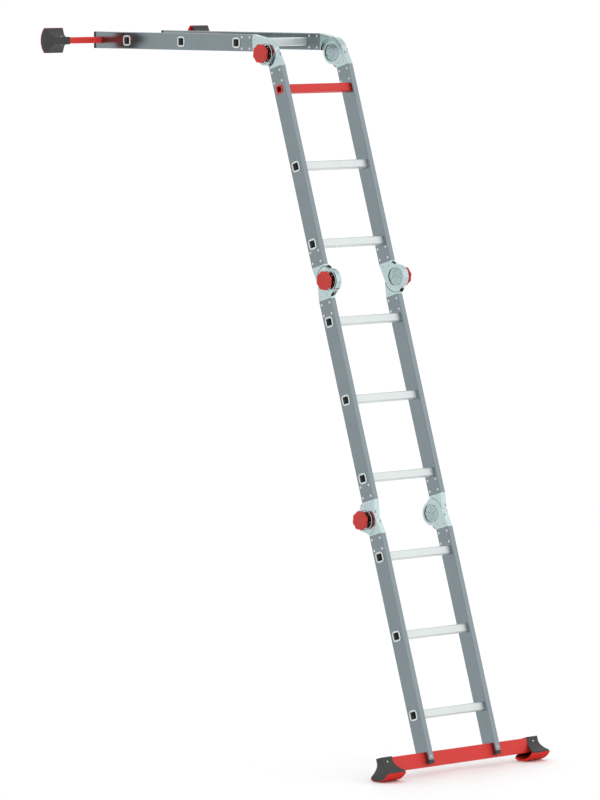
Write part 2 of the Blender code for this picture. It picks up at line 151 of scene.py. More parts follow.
# Lock
PLATE_R = 0.0302
PLATE_X = (0.1565, 0.160)
PLATE_EASE = 0.0006
PLATE_HOLES = ((-0.0135, 0.0035), (-0.020, 0.004), (0.0105, -0.0005), (-0.0045, -0.0085))
PLATE_HOLE_R = 0.0014
PLATE_HOLE_DEPTH = 0.0022
CHANNEL_R = 0.0021
LONG_CHANNEL = ((-0.012, 0.036), (-0.008, 0.027), (-0.003, 0.017), (0.004, 0.0105),
                (0.013, 0.009), (0.0185, 0.003), (0.0185, -0.006), (0.012, -0.012),
                (0.002, -0.0145), (-0.009, -0.0185), (-0.014, -0.0285), (-0.016, -0.036))
SHORT_CHANNEL = ((0.036, -0.010), (0.029, -0.008), (0.0235, -0.0125), (0.0165, -0.0185),
                 (0.007, -0.0215), (0.001, -0.030), (0.0, -0.036))
PLATE_RIM = ((0.0062, 0.001), (0.0062, -0.0008), (0.0072, -0.0014), (0.0084, -0.0008),
             (0.0092, 0.001))    # radius, and depth below the plate's face
SPINDLE_HEAD = 0.0006            # how far the spindle stands out of the plate
SPINDLE_R = 0.0055
SPINDLE_END = 0.1967
PIN_R = 0.0035
PIN_BORE_R = 0.0042
PIN_CIRCLE = 0.024
PIN_END = 0.1712
KNOB_R = 0.034
KNOB_DIP = 0.0028
KNOB_ROUND = 0.0015
KNOB_LOBES = 8
KNOB_X = (0.1945, 0.2045)
KNOB_HUB_X = 0.1845
KNOB_HUB_R = 0.018
KNOB_SEAT = 0.197
KNOB_GROOVE_R = ((0.0215, 0.0275), (0.0225, 0.0265))  # at the back face, at the bottom
KNOB_GROOVE_DEPTH = 0.0045
KNOB_DISH_R = (0.020, 0.0225)    # at the bottom, above the front face
KNOB_DISH_DEPTH = 0.0008
KNOB_HUB_EASE = 0.0012
SPRING_R = 0.0098
SPRING_WIRE_R = 0.0009
SPRING_TURNS = 4

# Rivets, measured from the hinge's axis and from the middle of the stile
RIVET_A = (0.0745, 0.113)
RIVET_D = 0.020
RIVET_R = 0.0045
RIVET_HEIGHT = 0.0011

# Stabilisers, with f measured outwards from the last rung
BAR_F = (0.132, 0.183)
BAR_THICK = 0.022
BAR_WALL = 0.002
BAR_ROUND = 0.003
BAR_HALF = 0.385
TUBE_END_F = 0.162
CAP_END_F = 0.175
CAP_PLUG_F = 0.126
SOLE_R = 0.065
SOLE_CENTRE_F = 0.146
SOLE_THICK = 0.0065
SOLE_HALF_DEPTH = 0.045
SOLE_STEP = math.radians(8.5)
SOLE_GROOVE = (0.0012, 0.0010)   # width and depth
SOLE_X = (0.318, 0.407)
SKIRT_X = 0.4035                 # inner face of the shoe's skirt at the sole
SHOE_TOP_F = 0.1295
SHOE_FLARE_F = (0.143, 0.186)
SHOE_DEPTH = (0.0135, 0.0445)    # half depth at the top and at the flare's end
SHOE_IN = (0.338, 0.3185)
SHOE_OUT = (0.393, 0.4065)
SHOE_WALL = 0.003
SHOE_SKIRT_R = 0.0625            # lower edge of the skirt beside the sole

# Screws
SCREW_F = 0.150
SHOE_RIVET_F = 0.146
SHOE_RIVET_X = 0.366
STILE_SCREW = (0.0042, 0.0016)   # radius and height of the head
SHOE_RIVET = (0.0036, 0.0014)

GAP = 0.0003
PAST = 0.005
SIDES = (("left", -1), ("right", 1))
# Each hinge: the side its axis is on (1 is the climber's), and the section
# whose arms are the outer ones
HINGES = ((1, -1, 2), (2, 1, 2), (3, -1, 4))

# Camera
CAMERA_AT = (-14.9002, -14.9418, 2.9369)
CAMERA_AZIMUTH = math.radians(-44.9912)
CAMERA_ELEVATION = math.radians(4.5953)
CAMERA_LENS = 268.85     # millimetres, with 36 along the picture's longer side

# Studio; each lamp has its direction, distance, size and power
LAMPS = {
    "key": ((0.70, -0.63, 0.33), 6, 5, 22),
    "top": ((-0.2, -0.3, 1), 6, 4, 8),
}
FLOOR_R = 9
FLOOR_Z = (-0.02, -0.0002)


# ------------------------------------------------------------------ outlines
def arc(r, start, end, steps, centre=(0, 0)):
    turns = [start + (end - start) * k / steps for k in range(steps + 1)]
    return [(centre[0] + r * math.cos(t), centre[1] + r * math.sin(t)) for t in turns]


def circle(r, steps, centre=(0, 0)):
    return arc(r, 0, 2 * math.pi, steps, centre)[:-1]


def rounded_rect(width, height, r, steps=4, centre=(0, 0)):
    """Rectangle with round corners, anticlockwise from the right side."""
    found = []
    for k, (sx, sy) in enumerate(((1, 1), (-1, 1), (-1, -1), (1, -1))):
        middle = (centre[0] + sx * (width / 2 - r), centre[1] + sy * (height / 2 - r))
        found += arc(r, k * math.pi / 2, (k + 1) * math.pi / 2, steps, middle)
    return found


def star(r, dip, lobes, steps):
    turns = [2 * math.pi * k / steps for k in range(steps)]
    radii = [r - dip * (1 - math.cos(lobes * t)) / 2 for t in turns]
    return [(q * math.cos(t), q * math.sin(t)) for q, t in zip(radii, turns)]


def corners(loop):
    """A closed outline without the points that lie on a straight side."""
    found = []
    for before, here, after in zip(loop[-1:] + loop[:-1], loop, loop[1:] + loop[:1]):
        first, second = Vector(here) - Vector(before), Vector(after) - Vector(here)
        if abs(first.cross(second)) > 1e-9:
            found.append(here)
    return found


# ------------------------------------------------- solids, made at the origin
def as_object(name, data):
    ob = bpy.data.objects.new(name, data)
    bpy.context.scene.collection.objects.link(ob)
    return ob


def evaluated_mesh(ob):
    graph = bpy.context.evaluated_depsgraph_get()
    return bpy.data.meshes.new_from_object(ob.evaluated_get(graph))


def from_bmesh(bm):
    mesh = bpy.data.meshes.new("solid")
    bm.to_mesh(mesh)
    bm.free()
    return as_object("solid", mesh)


def drawn_solid(curve, lift):
    """Mesh object of a curve, welded, and raised along local Z."""
    drawn = as_object("drawn", curve)
    mesh = evaluated_mesh(drawn)
    bpy.data.objects.remove(drawn)
    bm = bmesh.new()
    bm.from_mesh(mesh)
    bpy.data.meshes.remove(mesh)
    bmesh.ops.remove_doubles(bm, verts=bm.verts, dist=2e-6)
    bmesh.ops.translate(bm, verts=bm.verts, vec=(0, 0, lift))
    bmesh.ops.recalc_face_normals(bm, faces=bm.faces)
    return from_bmesh(bm)


def solid(outline, low, high, holes=(), rounding=0.0):
    """A flat outline thickened along local Z, with its outer edges rounded."""
    curve = bpy.data.curves.new("outline", "CURVE")
    curve.dimensions = "2D"
    curve.fill_mode = "BOTH"
    curve.extrude = (high - low) / 2 - rounding
    curve.bevel_depth = rounding
    curve.bevel_resolution = 2
    curve.offset = -rounding
    for loop in map(corners, (outline, *holes)):
        spline = curve.splines.new("POLY")
        spline.points.add(len(loop) - 1)
        for point, (x, y) in zip(spline.points, loop):
            point.co = (x, y, 0, 1)
        spline.use_cyclic_u = True
    return drawn_solid(curve, (low + high) / 2)


def wire(points, r, cyclic=False, resolution=3):
    """Round bar along points."""
    curve = bpy.data.curves.new("wire", "CURVE")
    curve.dimensions = "3D"
    curve.bevel_depth = r
    curve.bevel_resolution = resolution
    curve.use_fill_caps = True
    spline = curve.splines.new("POLY")
    spline.points.add(len(points) - 1)
    for point, co in zip(spline.points, points):
        point.co = (*co, 1)
    spline.use_cyclic_u = cyclic
    return drawn_solid(curve, 0)


def turned(profile, steps=48, centre=(0, 0)):
    """Profile of (r, z) turned round local Z. Ends at r = 0 close by themselves."""
    bm = bmesh.new()
    verts = [bm.verts.new((r, 0, z)) for r, z in profile]
    ends = profile[0][0] > 0 and profile[-1][0] > 0
    pairs = list(zip(verts, verts[1:])) + ([(verts[-1], verts[0])] if ends else [])
    edges = [bm.edges.new(pair) for pair in pairs]
    bmesh.ops.spin(bm, geom=verts + edges, cent=(0, 0, 0), axis=(0, 0, 1),
                   angle=2 * math.pi, steps=steps, use_merge=True)
    bmesh.ops.remove_doubles(bm, verts=bm.verts, dist=1e-6)
    bmesh.ops.recalc_face_normals(bm, faces=bm.faces)
    bmesh.ops.translate(bm, verts=bm.verts, vec=(*centre, 0))
    return from_bmesh(bm)


def disc(r, low, high, steps=48, centre=(0, 0)):
    return turned([(0, low), (r, low), (r, high), (0, high)], steps, centre)


def dome(r, height, flip=1, low=0.0, steps=20, centre=(0, 0)):
    """Low round head on the level low, with a shallow dimple in its middle."""
    rise = [(r * math.cos(t), height * math.sin(t)) for t in (0, 0.35, 0.75, 1.15)]
    dimple = [(0.30 * r, height), (0.16 * r, 0.75 * height), (0, 0.7 * height)]
    profile = [(0, -height / 2), (r, -height / 2)] + rise + dimple
    return turned([(q, flip * (low + z)) for q, z in profile], steps, centre)


def block(low, high):
    low, high = Vector(low), Vector(high)
    bm = bmesh.new()
    size = Matrix.Diagonal((*(high - low), 1))
    bmesh.ops.create_cube(bm, size=1, matrix=Matrix.Translation((low + high) / 2) @ size)
    return from_bmesh(bm)


def lofted(rings):
    """Closed solid through rings of as many points each."""
    bm = bmesh.new()
    rows = [[bm.verts.new(p) for p in ring] for ring in rings]
    for lower, upper in zip(rows, rows[1:]):
        for k, vert in enumerate(lower):
            after = (k + 1) % len(lower)
            bm.faces.new((vert, lower[after], upper[after], upper[k]))
    bm.faces.new(rows[0])
    bm.faces.new(rows[-1])
    bmesh.ops.recalc_face_normals(bm, faces=bm.faces)
    return from_bmesh(bm)


def combine(operation, base, others):
    """Boolean of base with each of the others, which are used up."""
    for other in others:
        mod = base.modifiers.new(operation, "BOOLEAN")
        mod.operation = operation
        mod.object = other
        mesh = evaluated_mesh(base)
        base.modifiers.clear()
        base.data = mesh
        bpy.data.objects.remove(other)
    return base


def join(base, *others):
    return combine("UNION", base, others)


def cut(base, *others):
    return combine("DIFFERENCE", base, others)


def together(*obs):
    """One object of several separate solids."""
    bm = bmesh.new()
    for ob in obs:
        bm.from_mesh(ob.data)
        bpy.data.objects.remove(ob)
    return from_bmesh(bm)


def turn_over(ob, matrix):
    ob.data.transform(matrix)
    return ob


# Local Z of an outline becomes X, the stile's direction
LENGTHWISE = Matrix(((0, 0, 1, 0), (1, 0, 0, 0), (0, 1, 0, 0), (0, 0, 0, 1)))


def finished(ob, ease=0.0, sharp=38, segments=2):
    """The mesh of a working solid, which goes.

    Its sharp edges are eased, and its flat faces keep their own normals.
    """
    if ease:
        mod = ob.modifiers.new("ease", "BEVEL")
        mod.width = ease
        mod.segments = segments
        mod.limit_method = "ANGLE"
        mod.angle_limit = math.radians(sharp)
        mod.use_clamp_overlap = True
        mesh = evaluated_mesh(ob)
        ob.modifiers.clear()
        ob.data = mesh
    ob.data.shade_smooth()
    ob.data.set_sharp_from_angle(angle=math.radians(sharp))
    flat = ob.modifiers.new("flat faces", "WEIGHTED_NORMAL")
    flat.keep_sharp = True
    mesh = evaluated_mesh(ob)
    bpy.data.objects.remove(ob)
    return mesh


# ----------------------------------------------------------------- materials
class Surface:
    """A Principled material whose textures are laid out in Object coordinates."""

    def __init__(self, name, metallic=0.0, grain=(1, 1, 1)):
        self.material = bpy.data.materials.new(name)
        self.material.use_nodes = True
        self.tree = self.material.node_tree
        self.shader = self.tree.nodes["Principled BSDF"]
        self.shader.inputs["Metallic"].default_value = metallic
        coord = self.add("ShaderNodeTexCoord")
        self.place = coord.outputs["Object"]
        stretched = self.add("ShaderNodeMapping")
        stretched.inputs["Scale"].default_value = grain
        self.link(self.place, stretched.inputs["Vector"])
        self.grain = stretched.outputs["Vector"]

    def add(self, kind, **values):
        node = self.tree.nodes.new(kind)
        for key, value in values.items():
            setattr(node, key, value)
        return node

    def link(self, source, target):
        self.tree.links.new(source, target)

    def noise(self, scale, detail=3.0, rough=0.55, along_grain=False):
        node = self.add("ShaderNodeTexNoise")
        node.inputs["Scale"].default_value = scale
        node.inputs["Detail"].default_value = detail
        node.inputs["Roughness"].default_value = rough
        self.link(self.grain if along_grain else self.place, node.inputs["Vector"])
        return node.outputs["Fac"]

    def cells(self, scale, feature="F1", output="Distance"):
        node = self.add("ShaderNodeTexVoronoi", feature=feature)
        node.inputs["Scale"].default_value = scale
        self.link(self.place, node.inputs["Vector"])
        return node.outputs[output]

    def blended(self, first, second, share):
        node = self.add("ShaderNodeMix", data_type="FLOAT")
        node.inputs[0].default_value = share
        self.link(first, node.inputs[2])
        self.link(second, node.inputs[3])
        return node.outputs[0]

    def spread(self, value, low, high, start=0.3, stop=0.7):
        node = self.add("ShaderNodeMapRange")
        self.link(value, node.inputs["Value"])
        node.inputs["From Min"].default_value = start
        node.inputs["From Max"].default_value = stop
        node.inputs["To Min"].default_value = low
        node.inputs["To Max"].default_value = high
        return node.outputs["Result"]

    def colour(self, value, *stops):
        """Base colour from (place, colour) stops along the value."""
        ramp = self.add("ShaderNodeValToRGB")
        elements = ramp.color_ramp.elements
        while len(elements) < len(stops):
            elements.new(0.5)
        for element, (place, rgb) in zip(elements, stops):
            element.position = place
            element.color = (*rgb, 1)
        self.link(value, ramp.inputs["Fac"])
        self.link(ramp.outputs["Color"], self.shader.inputs["Base Color"])

    def roughness(self, value, low, high, start=0.3, stop=0.7):
        self.link(self.spread(value, low, high, start, stop), self.shader.inputs["Roughness"])

    def relief(self, value, height, strength=1.0):
        """Bump of a height in metres, added to those already there."""
        node = self.add("ShaderNodeBump")
        node.inputs["Strength"].default_value = strength
        node.inputs["Distance"].default_value = height
        self.link(value, node.inputs["Height"])
        normal = self.shader.inputs["Normal"]
        if normal.is_linked:
            self.link(normal.links[0].from_socket, node.inputs["Normal"])
        self.link(node.outputs["Normal"], normal)


# Each maker takes a base colour as linear RGB, and most a roughness
def scaled(rgb, share):
    return tuple(c * share for c in rgb)


def extruded_aluminium(name, metallic, rgb, rough, lines):
    """Anodised extrusion: fine die lines along the profile and soft clouds."""
    s = Surface(name, metallic, grain=(2.5, 900, 900))
    die = s.noise(1.0, 4.0, 0.6, along_grain=True)
    clouds = s.noise(14, 4.0)
    both = s.blended(die, clouds, 0.45)
    s.colour(both, (0.32, scaled(rgb, 0.93)), (0.5, rgb), (0.70, scaled(rgb, 1.07)))
    s.roughness(both, rough - 0.05, rough + 0.06)
    s.relief(die, 0.00005, lines)
    s.relief(s.noise(260, 2.0), 0.00002, 0.3)
    return s.material


def pressed_steel(name, rgb, rough):
    """Bright zinc over pressed sheet: crystals, clouds and faint rolling marks."""
    s = Surface(name, metallic=1.0, grain=(120, 500, 500))
    crystals = s.cells(190, output="Color")
    clouds = s.noise(38, 5.0, 0.65)
    tone = s.blended(clouds, crystals, 0.22)
    s.colour(tone, (0.30, scaled(rgb, 0.90)), (0.52, rgb), (0.75, scaled(rgb, 1.08)))
    s.roughness(clouds, rough - 0.06, rough + 0.08)
    s.relief(s.noise(1.0, 3.0, along_grain=True), 0.00003, 0.35)
    s.relief(s.noise(70, 3.0), 0.00022, 0.35)
    return s.material


def bright_steel(name, rgb, rough):
    s = Surface(name, metallic=1.0, grain=(500, 500, 60))
    fine = s.noise(1.0, 3.0, along_grain=True)
    s.colour(fine, (0.3, scaled(rgb, 0.85)), (0.7, scaled(rgb, 1.06)))
    s.roughness(s.noise(120, 3.0), rough - 0.05, rough + 0.1)
    s.relief(fine, 0.00003, 0.4)
    return s.material


def powder_coat(name, rgb):
    """Baked powder: the orange peel of the coat over a slightly uneven colour."""
    s = Surface(name)
    peel = s.cells(750, feature="SMOOTH_F1")
    clouds = s.noise(22, 4.0)
    s.colour(clouds, (0.3, scaled(rgb, 0.95)), (0.7, scaled(rgb, 1.04)))
    s.roughness(clouds, 0.42, 0.52)
    s.shader.inputs["Specular IOR Level"].default_value = 0.3
    s.relief(peel, 0.00008, 0.35)
    s.relief(s.noise(90, 2.0), 0.0001, 0.2)
    return s.material


def moulded_plastic(name, rgb, rough, speck=0.12):
    """Spark-eroded mould texture, with flow marks and paler rubbed specks."""
    s = Surface(name)
    texture = s.noise(1500, 2.0, 0.5)
    flow = s.noise(30, 4.0)
    tone = s.blended(flow, texture, speck)
    s.colour(tone, (0.30, scaled(rgb, 0.88)), (0.55, rgb), (0.75, scaled(rgb, 1.14)))
    s.roughness(tone, rough - 0.06, rough + 0.08)
    s.shader.inputs["Specular IOR Level"].default_value = 0.35
    s.relief(texture, 0.00006, 0.5)
    s.relief(flow, 0.0002, 0.15)
    return s.material


def rubber(name, rgb):
    """Vulcanised rubber: matt, grainy, with a little dust in its hollows."""
    s = Surface(name)
    grains = s.noise(700, 3.0, 0.7)
    dust = s.noise(45, 5.0, 0.7)
    tone = s.blended(grains, dust, 0.5)
    dusty = tuple(0.95 * c + 0.006 for c in rgb)
    s.colour(tone, (0.32, scaled(rgb, 0.86)), (0.5, rgb), (0.70, dusty))
    s.roughness(tone, 0.68, 0.85)
    s.shader.inputs["Specular IOR Level"].default_value = 0.1
    s.relief(grains, 0.0001, 0.5)
    return s.material


def make_materials():
    return {
        "stile_aluminium": extruded_aluminium("stile aluminium", 1.0,
                                              (0.224, 0.266, 0.287), 0.17, 0.12),
        "rung_aluminium": extruded_aluminium("rung aluminium", 0.6, (0.66, 0.71, 0.70), 0.42, 0.2),
        # Darker grey on the rungs' bore walls: painted shade inside the tubes
        "painted_shade_grey_bore": extruded_aluminium("painted shade, grey, on the bore walls", 0.3, (0.17, 0.17, 0.17), 0.5, 0.2),
        "hinge_steel": pressed_steel("pressed steel", (0.49, 0.60, 0.61), 0.16),
        # Darker copy of the arms' steel for the lock plate: painted shade and painted dark
        # reflections in the recess
        "lock_steel": pressed_steel("lock plate steel, darkened as painted shade", (0.40, 0.50, 0.51), 0.14),
        "rivet_steel": bright_steel("rivet steel", (0.66, 0.66, 0.64), 0.25),
        # The spring's dark grey is painted shade between the knob and the arm
        "painted_shade_spring": bright_steel("dark spring, painted shade", (0.16, 0.16, 0.16), 0.35),
        "red_rung": powder_coat("red coat on the rung", (0.62, 0.036, 0.030)),
        # Darker red on the red rung's bore walls: painted shade inside its tube
        "painted_shade_red_bore": powder_coat("red coat, darkened as painted shade, on the bore walls", (0.40, 0.024, 0.020)),
        "bar_red": powder_coat("red coat on the bars", (0.64, 0.034, 0.028)),
        "knob_red": moulded_plastic("red plastic", (0.51, 0.030, 0.024), 0.5, 0.08),
        "sole_red": rubber("red rubber", (0.66, 0.034, 0.028)),
        "foot_black": moulded_plastic("black plastic", (0.040, 0.040, 0.039), 0.55, 0.2),
        "cap_black": moulded_plastic("black cap plastic", (0.040, 0.040, 0.039), 0.5, 0.2),
        # Near-black fill of the arms' slots: painted shade of the slots
        "slot_painted_shade_black": moulded_plastic("near-black painted shade in the slot", (0.007, 0.007, 0.007), 0.7, 0.2),
        # The dark red of the rings on the recesses' floors is painted shade and painted reflection
        # of the knobs' shaded backs
        "painted_shade_red": moulded_plastic("dark red, painted shade and reflection", (0.022, 0.004, 0.0035), 0.6, 0.1),
    }


# -------------------------------------------------------------------- pieces
def stile_mesh(foot):
    """Tube along X from the hinge's level, with holes for the rungs.

    With a foot, the far end carries on past the last rung and has a notch
    for the bar.
    """
    end = SECTION - FIRST_RUNG + TUBE_END_F if foot else SECTION - STILE_END
    outer = rounded_rect(STILE_DEPTH, STILE_THICK, STILE_ROUND)
    bore = rounded_rect(STILE_DEPTH - 2 * STILE_WALL, STILE_THICK - 2 * STILE_WALL,
                        STILE_ROUND - STILE_WALL)
    tube = turn_over(solid(outer, STILE_END, end, [bore]), LENGTHWISE)
    through = STILE_THICK / 2 + PAST
    for k in range(3):
        at = FIRST_RUNG + k * RUNG_PITCH, 0
        hole = rounded_rect(RUNG + 2 * GAP, RUNG + 2 * GAP, RUNG_ROUND, centre=at)
        cut(tube, solid(hole, -through, through))
    if foot:
        slot = BAR_THICK / 2 + GAP
        notch = end - TUBE_END_F + BAR_F[0] - GAP
        cut(tube, block((notch, -slot, -through), (end + PAST, slot, through)))
    return finished(tube, ease=0.0003, sharp=50, segments=1)


def rung_mesh(bead, bead_round, mouth):
    """Square tube along Z with round corners, swaged over the outer webs.

    Its second material, a darker copy, is painted shade on the walls of the bore.
    """
    end = (BEAD_X[0] + BEAD_X[1]) / 2
    bore = rounded_rect(RUNG_BORE, RUNG_BORE, 0.0035)
    tube = solid(rounded_rect(RUNG, RUNG, RUNG_ROUND), -end, end, [bore])
    lip = rounded_rect(mouth, mouth, 0.0035)
    for side in (-1, 1):
        levels = sorted(side * x for x in BEAD_X)
        join(tube, solid(rounded_rect(bead, bead, bead_round), *levels, [lip], 0.0008))
    mesh = finished(tube)
    for face in mesh.polygons:
        spots = [mesh.vertices[v].co for v in face.vertices]
        if max(max(abs(spot.x), abs(spot.y)) for spot in spots) < RUNG_BORE / 2 + GAP:
            face.material_index = 1
    return mesh


def leaving(r, x, y):
    """Angle at which the disc of radius r is left for the corner (x, y)."""
    foot = r - WEB_DIP
    return math.atan2(y, x) - math.acos(foot / math.hypot(x, y)) + math.acos(foot / r)


def arm_outline():
    """Outline of an arm: its disc, the webs beside it, and the leg."""
    shut = math.pi - math.asin(REAR / SWEEP_R)
    corner = SWEEP_R * math.cos(math.pi - shut), REAR
    rear = arc(DISC_R, leaving(DISC_R, WEB_END, REAR), -math.pi - leaving(DISC_R, *corner), 30)
    front = arc(SWEEP_R, shut, math.pi / 2, 16)
    return [(ROOT, REAR), (WEB_END, REAR)] + rear + front + [(ROOT, SWEEP_R + FRONT_SLOPE * ROOT)]


def web_pocket():
    """Outline of the hollow behind the disc and the webs."""
    disc_r, sweep_r, rear = DISC_R - SHEET, SWEEP_R - SHEET, REAR + SHEET
    shut = math.asin(rear / sweep_r)
    corner = sweep_r * math.cos(shut), rear
    turn = leaving(disc_r, *corner)
    return (arc(disc_r, turn, -math.pi - turn, 30)
            + arc(sweep_r, math.pi - shut, shut, 30))


def leg_pocket():
    """Outline of the hollow in the leg, open towards the stile."""
    r, rear = LEG_R + SHEET, REAR + SHEET
    start = arc(r, math.radians(60), math.asin(rear / r), 14)
    edge = [(x, SWEEP_R - SHEET + FRONT_SLOPE * x) for x in (ROOT + PAST, start[0][0])]
    return start + [(ROOT + PAST, rear)] + edge


def pin_places():
    return [(y, x) for x, y in circle(PIN_CIRCLE, 3)]


def recess_ring(height, flip):
    """Round-topped ring pressed up round the recess, on the face at Z = 0."""
    middle, half = sum(RING) / 2, (RING[1] - RING[0]) / 2
    turns = [math.pi * (1 - k / 10) for k in range(11)]
    over = [(middle + half * math.cos(t), -height * math.sin(t)) for t in turns]
    profile = over + [(RING[1], RING_ROOT), (RING[0], RING_ROOT)]
    return turned([(r, flip * z) for r, z in profile], 72)


def slot_block(flip, inset, grow):
    """Box in the slot at the rear web's edge; grow makes it the slot itself."""
    half = SLOT_FILL_SIZE[0] / 2 + grow
    low, high = sorted((flip * (SLOT_FILL_Z[0] - grow), flip * (SLOT_FILL_Z[1] + grow)))
    box = block((-half, inset, low), (half, SLOT_FILL_SIZE[1] / 2 + grow, high))
    turn = Matrix.Translation((*SLOT_AT, 0)) @ Matrix.Rotation(SLOT_ANGLE, 4, "Z")
    return turn_over(box, turn)


def arm_mesh(outer, flip):
    """Arm with its axis along Z, and the face that shows at Z = 0.

    flip is 1 or -1 and says to which side of that face the steel lies.
    """
    def levels(low, high):
        return sorted((flip * low, flip * high))

    def shape(outline, low, high, holes=(), rounding=0.0):
        return solid(outline, *levels(low, high), holes, rounding)

    def round_bar(r, low, high, steps=60, centre=(0, 0)):
        return disc(r, *levels(low, high), steps, centre)

    floor, back = OUTER_FLOOR if outer else INNER_FLOOR
    arm = shape(arm_outline(), 0, STILE_THICK, rounding=ARM_ROUND)
    cut(arm, round_bar(LEG_R, ARM_THICK, STILE_THICK + PAST, 90))
    post = circle(RECESS_R + SHEET, 60)
    cut(arm, shape(web_pocket(), WEB_FLOOR, ARM_THICK + PAST / 2, [post]))
    cut(arm, shape(leg_pocket(), SHEET, STILE_THICK - SHEET))
    join(arm, recess_ring(RING_HEIGHT if outer else INNER_RING_HEIGHT, flip))
    cut(arm, round_bar(RECESS_R, -PAST, floor, 72))
    if outer:
        collar = circle(BOSS_R + 2 * GAP, 40)
        cut(arm, shape(circle(RECESS_R, 60), back, ARM_THICK + PAST / 2, [collar]))
        join(arm, round_bar(BOSS_R, back, BOSS_END, 40))
        cut(arm, round_bar(SPINDLE_BORE_R, floor - PAST, BOSS_END + PAST, 32))
    else:
        cut(arm, round_bar(RECESS_R, back, ARM_THICK + PAST / 2))
        cut(arm, round_bar(BOSS_BORE_R, floor - PAST, back + PAST / 2, 40))
        for place in pin_places():
            cut(arm, round_bar(PIN_BORE_R, floor - PAST, back + PAST / 2, 24, place))
    # Slot for the near-black block that paints the slot's shade, a short slot in the front edge,
    # and two holes
    cut(arm, slot_block(flip, SLOT_MOUTH, SLOT_GAP))
    low, high = levels(*EDGE_SLOT_LEVELS)
    cut(arm, block((EDGE_SLOT_X[0], SWEEP_R - SHEET - EDGE_SLOT_DEPTH, low),
                   (EDGE_SLOT_X[1], SWEEP_R + PAST, high)))
    for place in ARM_HOLES:
        cut(arm, round_bar(ARM_HOLE_R, -PAST, SHEET + PAST / 2, 20, place))
    # Screw heads on the dark red ring that paints the recess floor's shade
    if outer:
        heads = [dome(SHADE_DISC_HEAD_R, SHADE_DISC_HEAD_HEIGHT, -flip, SHADE_DISC_THICK - floor,
                      centre=place)
                 for place in circle(PIN_CIRCLE, SHADE_DISC_HEADS)]
        arm = together(arm, *heads)
    return finished(arm, ease=0.00035, sharp=42)


# Near-black block in the slot of the rear web's edge: painted shade of the slot
def slot_shade_mesh(flip):
    return finished(slot_block(flip, SLOT_FILL_FACE, 0.0), ease=SLOT_FILL_EASE)


def painted_shade_disc_mesh(flip):
    """Flat dark red ring on the floor of the outer recess: painted shade, with the painted
    reflection of the knob's shaded back.
    """
    low, high = OUTER_FLOOR[0], OUTER_FLOOR[0] - SHADE_DISC_THICK
    profile = [(SHADE_DISC_R[0], low), (SHADE_DISC_R[1], low), (SHADE_DISC_R[1], high + SHADE_DISC_EASE),
               (SHADE_DISC_R[1] - SHADE_DISC_EASE, high), (SHADE_DISC_R[0], high)]
    return finished(turned([(r, flip * z) for r, z in profile], 60))


def rivet_set_mesh():
    """Heads on both webs of a stile's end, round an axis along Z."""
    solids = []
    for x in RIVET_A:
        for y in (-RIVET_D, RIVET_D):
            for face in (-1, 1):
                solids.append(dome(RIVET_R, RIVET_HEIGHT, face, STILE_THICK / 2,
                                   centre=(x, y)))
    return finished(together(*solids))


def knob_mesh(side):
    """Star knob round Z, with z measured from the ladder's middle."""
    low, high = sorted(side * x for x in KNOB_X)
    knob = solid(star(KNOB_R, KNOB_DIP, KNOB_LOBES, 128), low, high, rounding=KNOB_ROUND)
    # Ring groove in the back, dish in the front
    wide, narrow = KNOB_GROOVE_R
    outside, bottom = KNOB_X[0] - PAST, KNOB_X[0] + KNOB_GROOVE_DEPTH
    groove = [(wide[0], outside), (wide[1], outside), (narrow[1], bottom), (narrow[0], bottom)]
    cut(knob, turned([(r, side * z) for r, z in groove], 64))
    bottom, outside = KNOB_X[1] - KNOB_DISH_DEPTH, KNOB_X[1] + 0.001
    dish = [(0, bottom), (KNOB_DISH_R[0], bottom), (KNOB_DISH_R[1], outside), (0, outside)]
    cut(knob, turned([(r, side * z) for r, z in dish], 64))
    root = KNOB_X[0] + 0.002
    hub = [(0, KNOB_HUB_X), (KNOB_HUB_R - KNOB_HUB_EASE, KNOB_HUB_X),
           (KNOB_HUB_R, KNOB_HUB_X + KNOB_HUB_EASE), (KNOB_HUB_R, root), (0, root)]
    join(knob, turned([(r, side * z) for r, z in hub], 48))
    hole = sorted(side * x for x in (KNOB_HUB_X - PAST, KNOB_SEAT))
    cut(knob, disc(SPINDLE_BORE_R, *hole, 32))
    return finished(knob, ease=0.0004, sharp=35)


def channel(points, z):
    """Cutter for a pressed channel, on a smooth curve through points at the level z."""
    smooth = []
    for p0, p1, p2, p3 in zip(points, points[1:], points[2:], points[3:]):
        for k in range(5):
            t = k / 5
            smooth.append([0.5 * (2 * b + (c - a) * t + (2 * a - 5 * b + 4 * c - d) * t * t
                                  + (3 * b - a - 3 * c + d) * t ** 3)
                           for a, b, c, d in zip(p0, p1, p2, p3)])
    return wire([(x, y, z) for x, y in smooth], CHANNEL_R)


def lock_plate_mesh(side):
    """Plate with pressed channels, spindle and pins round Z, z from the middle."""
    face = side * PLATE_X[0]
    levels = sorted(side * x for x in PLATE_X)
    plate = solid(circle(PLATE_R, 90), *levels, rounding=PLATE_EASE)
    cut(plate, channel(LONG_CHANNEL, face), channel(SHORT_CHANNEL, face))
    hole = sorted((face - side * PAST, face + side * PLATE_HOLE_DEPTH))
    for place in PLATE_HOLES:
        cut(plate, disc(PLATE_HOLE_R, *hole, 20, place))
    join(plate, turned([(r, face + side * z) for r, z in PLATE_RIM], 40))
    spindle_end = face - side * SPINDLE_HEAD
    join(plate, disc(SPINDLE_R, *sorted((spindle_end, side * SPINDLE_END)), 32))
    for place in pin_places():
        join(plate, disc(PIN_R, *sorted((face + side * 0.001, side * PIN_END)), 20, place))
    return finished(plate, ease=0.0002, sharp=42)


